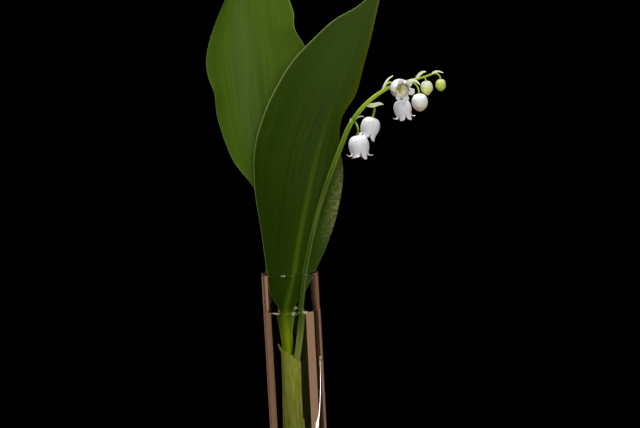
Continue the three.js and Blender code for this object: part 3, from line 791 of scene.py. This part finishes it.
def waxy(name, crown, tip, turns, roughness=0.4, depth_share=0.6, inside="FFFFFF"):
    """Waxy tissue whose colour turns from the crown's to the tip's between two shares of its length."""
    made, tree = material(name)
    along, within = [
        add(tree, "Attribute", attribute_name=note).outputs["Fac"] for note in ("along", "inside")
    ]
    tip_share = patch(tree, (along, {"From Min": turns[0], "From Max": turns[1]}))
    colour = coated(tree, linear(crown), [(tip_share, tip), (within, inside)])
    shader = add(
        tree,
        "BsdfPrincipled",
        {
            "Base Color": colour,
            "Roughness": roughness,
            "Subsurface Weight": depth_share,
            "Subsurface Radius": WAX_DEPTH_BY_COLOUR,
            "Subsurface Scale": WAX_DEPTH * MM,
            "Sheen Weight": WAX_SHEEN,
            "Sheen Roughness": WAX_SHEEN_ROUGHNESS,
        },
    )
    glow = add(tree, "BsdfTranslucent", {"Color": colour})
    both = add(tree, "MixShader", {0: WAX_LETS_THROUGH, 1: shader.outputs[0], 2: glow.outputs[0]})
    add(tree, "OutputMaterial", {"Surface": both.outputs[0]})
    return made


def clear(name, code, ior):
    """Glass or water: bends what is seen through it, and lets lamps and soft light pass to what it holds."""
    made, tree = material(name)
    body = add(
        tree,
        "BsdfPrincipled",
        {"Base Color": linear(code), "Roughness": 0.0, "IOR": ior, "Transmission Weight": 1.0},
    )
    path = add(tree, "LightPath")
    passing = add(
        tree,
        "Math",
        {0: path.outputs["Is Shadow Ray"], 1: path.outputs["Is Diffuse Ray"]},
        operation="MAXIMUM",
    )
    open_way = add(tree, "BsdfTransparent", {"Color": linear(code)})
    both = add(tree, "MixShader", {0: passing.outputs[0], 1: body.outputs[0], 2: open_way.outputs[0]})
    add(tree, "OutputMaterial", {"Surface": both.outputs[0]})
    return made


# Soda-lime glass, drawn as a tube and melted smooth at the rim: clear, with sharp reflections and
# bright or dark lines where its walls are seen along
GLASS = clear("drawn_glass", "F7FAF8", ior=1.5)

# Still water: clear, so that the glass vanishes against it and only its surface shows
WATER = clear("still_water", "F4F8F5", ior=1.33)

# Living leaf, grown with parallel veins and a thin coat of wax: fine light and dark lines, a broad soft
# gloss, and a yellower green where light comes through. The upper leaf's midrib is painted darker, a painted
# shadow of its fold.
LEAF_UPPER = leaf(
    "waxy_leaf_upper",
    dark="3E5C0A",
    light="678326",
    foot="B6C012",
    # Painted shadow of the midrib's fold
    rib="35520A",
    rib_half=0.5,
    through="98B030",
    roughness=0.5,
    ochre_bloom_sheen=False,
)

# The lower leaf: a deeper green, painted shade for a leaf that faces away from the light, a broad light
# midrib, and a margin that is ochre high up, with a pale bloom below that also paints a speckled sheen
LEAF_LOWER = leaf(
    "waxy_leaf_lower",
    # Painted shade: this leaf's greens are darker because it faces away from the light
    dark="203902",
    light="405703",
    foot="B6C012",
    rib="587214",
    rib_half=1.6,
    through="8CA628",
    roughness=0.6,
    ochre_bloom_sheen=True,
)

# Scale leaf, a thin sleeve that grew in little light: pale straw fibres over a dull green that gets
# darker towards the cut
SHEATH = fibrous(
    "scale_leaf",
    grounds=[(-42, "ACA82A"), (-56, "928E18"), (-75, "78760A")],
    light="EAE088",
    strength=0.55,
    lines=SHEATH_FIBRES,
    roughness=0.55,
    share=0.25,
    through="B4B440",
)

# Fleshy flower stalk with low ribs, whose crests are painted lighter as a painted highlight where they catch
# the light. It is pale among the flowers and deeper green lower down, partly its own colour and partly
# painted shadow where the leaves shade it, and dull under water
STALK_GREEN = fibrous(
    "stalk_green",
    grounds=[
        (84, "B0BE40"),
        (73, "8CA61C"),
        # From here down the stalk is darker: partly its own deeper green, partly painted shadow of the leaves
        (66, "5C7A02"),
        (52, "567402"),
        (38, "2C4604"),
        (-16, "2C4604"),
        (-34, "84863A"),
    ],
    light="B4C84C",
    strength=0.2,
    lines=STALK_FIBRES,
    roughness=0.4,
)

# Bract, a dry skin as thin as paper: nearly white, with fine fibres, and bright with the light behind it
BRACT = fibrous(
    "bract_membrane",
    grounds=[(0, "F0F2CC")],
    light="FFFFF4",
    strength=0.8,
    lines=BRACT_FIBRES,
    roughness=0.5,
    share=0.6,
    through="FAFBE6",
)

# Petal, thick and waxy: white with soft shadows, because light goes a short way in and comes out again. Its
# lobes turn beige towards their tips, which is painted warm shade on the lower lobes, and its inner wall is a
# cream painted brighter than the outside, which is painted light that lifts the shade inside the bell
PETAL = waxy("waxy_white_petal", "EFEDF1", "EFE6E0", turns=(0.72, 1), inside="FFF4DC")

# Pistil, moist green flesh, with a whitish tip
PISTIL_GREEN = waxy("pistil_green", "B4BE24", "D8D880", turns=(0.3, 0.9), roughness=0.5, depth_share=0.4)

# Stamens, cream from the pollen on them, and soft to the eye
STAMEN_CREAM = waxy("stamen_cream", "FBF5D8", "F4EAB8", turns=(0.3, 0.9), roughness=0.5, depth_share=0.4)

# Buds, of the petals' wax: the younger the bud, the greener it is, most of all towards the tip
# The white bud turns beige towards its tip, which is painted warm shade on its underside
BUD_WHITE = waxy("white_bud", "FEFEFE", "E6D2AA", turns=(0.45, 0.75))
BUD_PALE = waxy("pale_bud", "FFFFFC", "E4EA90", turns=(0.2, 0.6))
BUD_GREEN = waxy("green_bud", "F4F8A8", "CED648", turns=(0.1, 0.7))

# Board with matt paint: an even, pale surface without reflections
PALE_FLOOR = matt("pale_floor", "D2C2A8", roughness=0.7)


def arc(centre_r, centre_z, radius, start, end, steps):
    """Points of an arc in the plane of radius and height, with angles in degrees."""
    angles = [math.radians(start + (end - start) * k / steps) for k in range(steps + 1)]
    return [(centre_r + radius * math.cos(a), centre_z + radius * math.sin(a)) for a in angles]


def turned(profile, sides):
    """A solid of revolution from (radius, height) points that start and end on the axis."""
    bm = bmesh.new()
    verts = [bm.verts.new((radius, 0, height)) for radius, height in profile]
    edges = [bm.edges.new(pair) for pair in zip(verts, verts[1:])]
    bmesh.ops.spin(
        bm,
        geom=verts + edges,
        cent=(0, 0, 0),
        axis=(0, 0, 1),
        angle=2 * math.pi,
        steps=sides,
        use_merge=True,
    )
    close(bm)
    return bm


def make_tube():
    """The glass tube, turned from one line that runs up its outside and down its inside."""
    inner = TUBE_RADIUS - TUBE_WALL
    base = -TUBE_HEIGHT
    floor = base + TUBE_FLOOR
    lip = TUBE_WALL / 2
    profile = [
        (0, base),
        (TUBE_RADIUS - FOOT_ROUND - HOLD, base),
        *arc(TUBE_RADIUS - FOOT_ROUND, base + FOOT_ROUND, FOOT_ROUND, -90, 0, FOOT_STEPS),
        (TUBE_RADIUS, base + FOOT_ROUND + HOLD),
        (TUBE_RADIUS, -RIM_GROOVE_END - HOLD),
        (TUBE_RADIUS, -RIM_GROOVE_END),
        (TUBE_RADIUS - RIM_GROOVE * RIM_GROOVE_HALFWAY, -(RIM_GROOVE_AT + RIM_GROOVE_END) / 2),
        (TUBE_RADIUS - RIM_GROOVE, -RIM_GROOVE_AT),
        *arc(TUBE_RADIUS - lip, -lip, lip, 0, 180, RIM_STEPS),
        (inner, -lip - HOLD),
        (inner, floor + INNER_ROUND + HOLD),
        *arc(inner - INNER_ROUND, floor + INNER_ROUND, INNER_ROUND, 0, -90, INNER_STEPS),
        (0, floor),
    ]
    piece("glass_tube", turned(profile, TUBE_SIDES), GLASS, "glass", "vase")


def make_water():
    """The water, whose surface climbs the glass in uneven waves, and the drops on the wall above it."""
    outer = TUBE_RADIUS - TUBE_WALL + WATER_IN_GLASS
    bottom = TUBE_FLOOR - WATER_IN_GLASS - TUBE_HEIGHT
    steepness = math.tan(math.radians(MENISCUS_SLOPE))
    climb = []
    for k in range(MENISCUS_STEPS + 1):
        out = MENISCUS_SPAN * k / MENISCUS_STEPS
        straight = steepness * (MENISCUS_REACH - out)
        climb.append((outer - out, (straight + math.hypot(straight, MENISCUS_BEND)) / 2 - WATER_DROP))
    rise = climb[0][1] + WATER_DROP
    profile = [
        (0, bottom),
        *arc(outer - INNER_ROUND, bottom + INNER_ROUND, INNER_ROUND, -90, 0, INNER_STEPS),
        (outer, bottom + INNER_ROUND + HOLD),
        (outer, rise - WATER_DROP - HOLD),
        *climb,
        (0, -WATER_DROP),
    ]
    bm = turned(profile, TUBE_SIDES)
    for vert in bm.verts:
        share = (vert.co.z + WATER_DROP) / rise
        if share > 0:
            angle = math.atan2(vert.co.y, vert.co.x)
            waves = sum(size * math.sin(count * angle + start) for count, size, start in MENISCUS_WAVES)
            lower = rise * (1 - MENISCUS_LEFT_AT_BACK) * (1 + math.sin(angle)) / 2
            vert.co.z += share * (waves - lower)
    piece("water_body", bm, WATER, "water", "water")
    bm = bmesh.new()
    for turn, height, radius in DROPS:
        place = (
            Matrix.Rotation(math.radians(turn), 4, "Z")
            @ Matrix.Translation((0, -outer, height))
            @ Matrix.Diagonal((1, DROP_FLATNESS, DROP_LENGTH, 1))
        )
        bmesh.ops.create_icosphere(bm, subdivisions=DROP_SUBDIVISIONS, radius=radius, matrix=place)
    piece("wall_drops", bm, WATER, "water", "water")


def make_leaf(name, node, stations, look, slot, folds, keel_side):
    """A leaf softly folded along its veins, with a keel under its midrib and a furrow over it."""
    surface = leaf_surface(stations)

    def relief(a, v, side):
        body = fade(v, *FOLDS_RISE) * (1 - fade(v, *FOLDS_FADE))
        waves = sum(depth * math.cos(turns * math.pi * a + start) for depth, turns, start in folds)
        half = (surface(1, v) - surface(-1, v)).length / 2
        keel = KEEL_HEIGHT * bump(a * half, 0, KEEL_HALF_WIDTH) * max(side * keel_side, 0)
        furrow = RIB_FURROW_DEPTH * bump(a * half, 0, RIB_FURROW_HALF_WIDTH) * max(-side * keel_side, 0)
        rib_runs = fade(v, *KEEL_RISES) * (1 - fade(v, *KEEL_FADES))
        return body * (1 - a * a) * waves + keel_side * rib_runs * (keel + furrow)

    bm = blade(surface, LEAF_THICKNESS, LEAF_COLUMNS, LEAF_ROWS, relief)
    piece(name, bm, look, slot, node)


def make_sheath(name, node, sections, mouth_rise, flap_height=0, flap_lean=0):
    """A sleeve with a slanted, slightly ragged mouth, and a small pointed flap on its left if it has one."""
    centres = smooth([centre for centre, half in sections])
    halves = smooth([(*half, 0) for centre, half in sections])

    def surface(a, v):
        angle = math.pi * a
        centre = centres(v)
        half = halves(v)
        at_mouth = fade(v, *SHEATH_MOUTH)
        flap = bump(abs(angle), math.pi, FLAP_WIDTH) * at_mouth
        teeth = sum(math.sin(count * angle + start) for count, start in SHEATH_TEETH)
        slant = mouth_rise * fade(v, *SHEATH_SLANT) * math.cos(angle)
        out = flap_lean * flap
        return Vector(
            (
                centre.x + (half.x + out) * math.cos(angle),
                centre.y + (half.y + out) * math.sin(angle),
                centre.z - slant + flap_height * flap + SHEATH_TOOTH_HEIGHT * teeth * at_mouth,
            )
        )

    def at(u, v):
        share = 1 - abs(2 * v - 1)
        side = 1 if v < 0.5 else -1
        a = 2 * u - 1
        point, normal = off(surface, a, share)
        ribs = SHEATH_RIBS_DEPTH * sum(math.cos(count * math.pi * a) for count in SHEATH_RIBS)
        foot = min(1, SHEATH_THINNING * share) ** 0.5
        mouth = min(1, SHEATH_THINNING * (1 - share)) ** 0.5
        return point + normal * (side * SHEATH_WALL * foot * mouth / 2 + ribs)

    bm = sheet(SHEATH_COLUMNS, 2 * SHEATH_ROWS, at, lambda u, v: {"along": 1 - abs(2 * v - 1), "round": u})
    piece(name, bm, SHEATH, "sheath", node)


def make_stalk():
    """The flower stalk with its ribs, and a short stem from it to each flower and bud."""
    bm = stem(
        smooth(STALK),
        lambda v: between(STALK_RADIUS, v),
        STALK_SIDES,
        STALK_ROWS,
        STALK_RIBS,
        STALK_RIB_DEPTH,
        STALK_RIB_START,
    )
    piece("stalk", bm, STALK_GREEN, "stalk", "scape")
    for k, flower in enumerate(FLOWERS + BUDS):
        up = -Vector(flower["hangs"]).normalized()
        end = Vector(flower["crown"]) + up * STEM_END
        radius = flower["stem_radius"]
        bm = stem(
            smooth([*flower["stem"], end]),
            lambda v: radius * between(STEM_SWELL, v),
            STEM_SIDES,
            STEM_ROWS,
        )
        piece(f"flower_stem_{k + 1}", bm, STALK_GREEN, "stalk", "scape")


def make_bract(number, rib, half, opens):
    """A small pointed bract, hollow towards the side that it opens to."""
    line = smooth(rib)
    open_way = Vector(opens).normalized()
    step = 0.01

    def surface(a, v):
        along = (line(min(v + step, 1)) - line(max(v - step, 0))).normalized()
        aside = along.cross(open_way).normalized()
        width = half * between(BRACT_WIDTHS, v)
        return line(v) + aside * (a * width) + open_way * (width * BRACT_DEPTH * a * a)

    bm = blade(surface, BRACT_THICKNESS, BRACT_COLUMNS, BRACT_ROWS, lambda a, v, side: 0)
    piece(f"bract_{number}", bm, BRACT, "stalk", "scape")


def bell_line(curl):
    """Radius and depth along a bell's wall and out along a lobe that turns by curl degrees."""
    body = evenly(smooth([(r, depth, 0) for r, depth in BELL_BODY]), BELL_BODY_STEPS)
    last = body[-1] - body[-2]
    angle = math.atan2(last.x, last.y)
    lobe = [body[-1]]
    for k in range(LOBE_STEPS):
        turn = angle + math.radians(curl) * ((k + 0.5) / LOBE_STEPS)
        lobe.append(lobe[-1] + Vector((math.sin(turn), math.cos(turn), 0)) * (LOBE_LENGTH / LOBE_STEPS))

    def at(share, reach):
        if share <= BODY_SHARE:
            place = share / BODY_SHARE * BELL_BODY_STEPS
            k = min(int(place), BELL_BODY_STEPS - 1)
            return body[k].lerp(body[k + 1], place - k)
        place = (share - BODY_SHARE) / (1 - BODY_SHARE) * reach * LOBE_STEPS
        k = min(int(place), LOBE_STEPS - 1)
        return lobe[k].lerp(lobe[k + 1], place - k)

    return at


def make_bell(number, crown, hangs, turn, size, curls):
    """An open flower: a bell of six petals grown together, each of which ends in a lobe with its own curl."""
    lines = [bell_line(curl) for curl in curls]

    def surface(a, v):
        place = (a + 1) / 2 * LOBES % LOBES
        k = min(int(place), LOBES - 1)
        x = 2 * (place - k) - 1
        reach = NOTCH_KEEPS + (1 - NOTCH_KEEPS) * (1 - abs(x) ** LOBE_ROUNDNESS)
        lobe_share = max(v - BODY_SHARE, 0) / (1 - BODY_SHARE)
        other = (k + (1 if x > 0 else -1)) % LOBES
        mix = NOTCH_BLEND * abs(x) ** NOTCH_NARROWNESS
        point = lines[k](v, reach).lerp(lines[other](v, reach), mix)
        furrow_runs = fade(v, BELL_FURROW_FROM, BODY_SHARE)
        furrow = BELL_FURROW_DEPTH * abs(x) ** BELL_FURROW_NARROWNESS * furrow_runs
        keel = LOBE_KEEL * bump(x, 0, LOBE_KEEL_HALF_WIDTH) * fade(v, *LOBE_KEEL_RISES)
        radius = point.x - furrow + keel * (1 - lobe_share)
        angle = 2 * math.pi / LOBES * (k + 0.5 + x / 2 * (1 - LOBE_TAPER * lobe_share * reach))
        return Vector((radius * math.cos(angle), radius * math.sin(angle), point.y))

    def at(u, v):
        share = 1 - abs(2 * v - 1)
        side = 1 if v < 0.5 else -1
        thickness = BELL_WALL * min(1, BELL_THINNING * (1 - share)) ** 0.5
        if share == 0:
            return Vector((0, 0, -side * thickness / 2))
        point, normal = off(surface, 2 * u - 1, share)
        return point + normal * (side * thickness / 2)

    def notes(u, v):
        share = 1 - abs(2 * v - 1)
        return {"along": share, "inside": 1 - fade(share, INSIDE_ENDS_FROM, BODY_SHARE) if v > 0.5 else 0}

    bm = sheet(BELL_COLUMNS, 2 * BELL_ROWS, at, notes)
    bmesh.ops.transform(bm, matrix=hung(crown, hangs, turn, size), verts=bm.verts)
    piece(f"bell_{number}", bm, PETAL, "petal", f"flower_{number}")


def make_heart(number, crown, hangs, turn, size):
    """What a bell holds: the pistil, and six stamens round it."""
    place = hung(crown, hangs, turn, size)
    line = smooth([(radius, depth, 0) for radius, depth in PISTIL])

    def at(u, v):
        point = line(v)
        angle = 2 * math.pi * u
        radius = max(point.x, 0) if 0 < v < 1 else 0
        return Vector((radius * math.cos(angle), radius * math.sin(angle), point.y))

    bm = sheet(PISTIL_SIDES, PISTIL_ROWS, at, lambda u, v: {"along": v})
    bmesh.ops.transform(bm, matrix=place, verts=bm.verts)
    piece(f"pistil_{number}", bm, PISTIL_GREEN, "heart", f"heart_{number}")
    for k in range(STAMENS):
        bm = stem(smooth(STAMEN_LINE), lambda v: between(STAMEN_RADIUS, v), STAMEN_SIDES, STAMEN_ROWS)
        turned_to = Matrix.Rotation(2 * math.pi * (k + 0.5) / STAMENS, 4, "Z")
        bmesh.ops.transform(bm, matrix=place @ turned_to, verts=bm.verts)
        piece(f"stamen_{number}_{k + 1}", bm, STAMEN_CREAM, "heart", f"heart_{number}")


def make_bud(number, shape, look, slot):
    """A closed bud, round or pointed at the tip, with low ribs where its petals lie side by side."""
    line = smooth([(wide, deep, 0) for wide, deep in BUD_PROFILE])

    def at(u, v):
        point = line(v)
        angle = 2 * math.pi * u
        rib = 1 + BUD_RIB * point.y * math.cos(LOBES * angle)
        narrowing = 1 - shape["point"] * max(0, point.y - BUD_POINT_FROM)
        radius = max(point.x, 0) * shape["radius"] * rib * narrowing if 0 < v < 1 else 0
        return Vector((radius * math.cos(angle), radius * math.sin(angle), shape["height"] * point.y))

    bm = sheet(BUD_SIDES, BUD_ROWS, at, lambda u, v: {"along": v})
    bmesh.ops.transform(bm, matrix=hung(shape["crown"], shape["hangs"]), verts=bm.verts)
    piece(f"closed_bud_{number}", bm, look, slot, f"bud_{number}")


# The tube, the water and the shoot
make_tube()
make_water()
make_leaf("back_leaf", "leaf_back", BACK_LEAF, LEAF_UPPER, "leaf_upper", BACK_FOLDS, keel_side=-1)
make_leaf("front_leaf", "leaf_front", FRONT_LEAF, LEAF_LOWER, "leaf_lower", FRONT_FOLDS, keel_side=1)
make_sheath("inner_sheath", "sheath_inner", SHEATH_INNER, INNER_MOUTH_RISE, FLAP_HEIGHT, FLAP_LEAN)
make_sheath("outer_sheath", "sheath_outer", SHEATH_OUTER, OUTER_MOUTH_RISE)
make_stalk()
for k, (rib, half, opens) in enumerate(BRACTS):
    make_bract(k + 1, rib, half, opens)
for k, flower in enumerate(FLOWERS):
    where = [flower[key] for key in ("crown", "hangs", "turn", "size")]
    make_bell(k + 1, *where, flower["curls"])
    make_heart(k + 1, *where)
bud_looks = [(BUD_WHITE, "bud_white"), (BUD_PALE, "bud_pale"), (BUD_GREEN, "bud_green")]
for k, (shape, (look, slot)) in enumerate(zip(BUDS, bud_looks)):
    make_bud(len(FLOWERS) + k + 1, shape, look, slot)

# Camera
camera = bpy.data.objects.new("camera", bpy.data.cameras.new("camera"))
camera.data.lens = CAMERA_LENS
camera.data.sensor_width = CAMERA_SENSOR
camera.data.clip_start = CAMERA_NEAREST
tilt = Matrix.Rotation(math.radians(90 - CAMERA_DOWN), 4, "X")
roll = Matrix.Rotation(math.radians(-CAMERA_ROLL), 4, "Z")
camera.matrix_world = Matrix.Translation(CAMERA_PLACE) @ tilt @ roll
scene.collection.objects.link(camera)
scene.camera = camera


def area_light(name, place, aim, size, power, code="FFFFFF", in_gloss=True):
    """A flat lamp that faces its aim. The camera doesn't see it, and reflections and glass show it or not."""
    light = bpy.data.lights.new(name, "AREA")
    light.shape = "RECTANGLE"
    light.size, light.size_y = size
    light.energy = power
    light.color = linear(code)[:3]
    lamp = bpy.data.objects.new(name, light)
    way = Vector(aim) - Vector(place)
    lamp.matrix_world = Matrix.Translation(place) @ way.to_track_quat("-Z", "Y").to_matrix().to_4x4()
    lamp.visible_camera = False
    lamp.visible_glossy = in_gloss
    lamp.visible_transmission = in_gloss
    scene.collection.objects.link(lamp)
    return lamp


def panel(name, turn, half_angle, radiance, code):
    """A tall panel beside the tube that the glass shows, turned from the far side towards the right."""
    angle = math.radians(turn)
    place = (PANEL_DISTANCE * math.sin(angle), PANEL_DISTANCE * math.cos(angle), 0)
    width = 2 * PANEL_DISTANCE * math.tan(math.radians(half_angle))
    power = radiance * math.pi * width * PANEL_HEIGHT
    area_light(name, place, (0, 0, 0), (width, PANEL_HEIGHT), power, code)


def low_strip(start, end, width):
    """A strip of soft light from one place to another, which shines straight up."""
    start = Vector((*start, STRIP_LEVEL))
    end = Vector((*end, STRIP_LEVEL))
    length = (end - start).length
    power = STRIP_RADIANCE * math.pi * length * width
    lamp = area_light("low_strip", (0, 0, 0), (0, 0, 1), (length, width), power, STRIP_COLOUR)
    # It lies flat along its line, face up
    turn = math.atan2(end.y - start.y, end.x - start.x)
    flipped = Matrix.Rotation(math.pi, 4, "X")
    lamp.matrix_world = Matrix.Translation((start + end) / 2) @ Matrix.Rotation(turn, 4, "Z") @ flipped


# Lights
area_light("key", (-0.1, 0.15, 1.15), MIDDLE, size=(0.5, 0.5), power=16, code="F4FAFF")
area_light("front_fill", (0.32, -1.3, 0.55), MIDDLE, size=(1, 1), power=7.6, in_gloss=False)
area_light("back_fill", (-0.6, 1.3, 0.8), MIDDLE, size=(0.8, 0.8), power=4, in_gloss=False)
area_light("side_fill", (1.2, 0.5, 0.5), MIDDLE, size=(0.8, 0.8), power=2, in_gloss=False)
area_light("front_strip", (0.12, -1.19, 0.47), (0.12, 0, 0.47), size=(0.14, 0.66), power=6)
panel("left_panel", turn=-21.1, half_angle=6.3, radiance=0.4, code="FFC49D")
panel("far_left_panel", turn=-59, half_angle=16, radiance=0.32, code="FFC8A4")
panel("right_panel", turn=49.5, half_angle=24.5, radiance=0.23, code="FFB891")
for side in (-1, 1):
    for (start, end), width in zip(zip(STRIP_LINE, STRIP_LINE[1:]), STRIP_WIDTHS):
        low_strip((side * start[0], start[1]), (side * end[0], end[1]), width)
# A narrow lamp whose reflection is the bright curved streak on the glass
streak_lamp = area_light(
    "streak_lamp",
    (0.252, 0.0795, 0.002),
    (0, 0.18, 0.002),
    size=(0.302, 0.0045),
    power=0.1,
)
streak_lamp.visible_transmission = False

world = bpy.data.worlds.new("dark_studio")
world.use_nodes = True
world.node_tree.nodes["Background"].inputs[0].default_value = SURROUND
scene.world = world

# Floor
bm = bmesh.new()
bmesh.ops.create_cone(
    bm,
    cap_ends=True,
    segments=FLOOR_SIDES,
    radius1=FLOOR_RADIUS,
    radius2=FLOOR_RADIUS,
    depth=FLOOR_DEPTH,
)
bmesh.ops.translate(bm, verts=bm.verts, vec=(0, 0, -FLOOR_DEPTH / 2 - FLOOR_GAP))
mesh = bpy.data.meshes.new("floor")
bm.to_mesh(mesh)
bm.free()
mesh.materials.append(PALE_FLOOR)
floor = bpy.data.objects.new("floor", mesh)
scene.collection.objects.link(floor)

scene.view_settings.view_transform = "Standard"
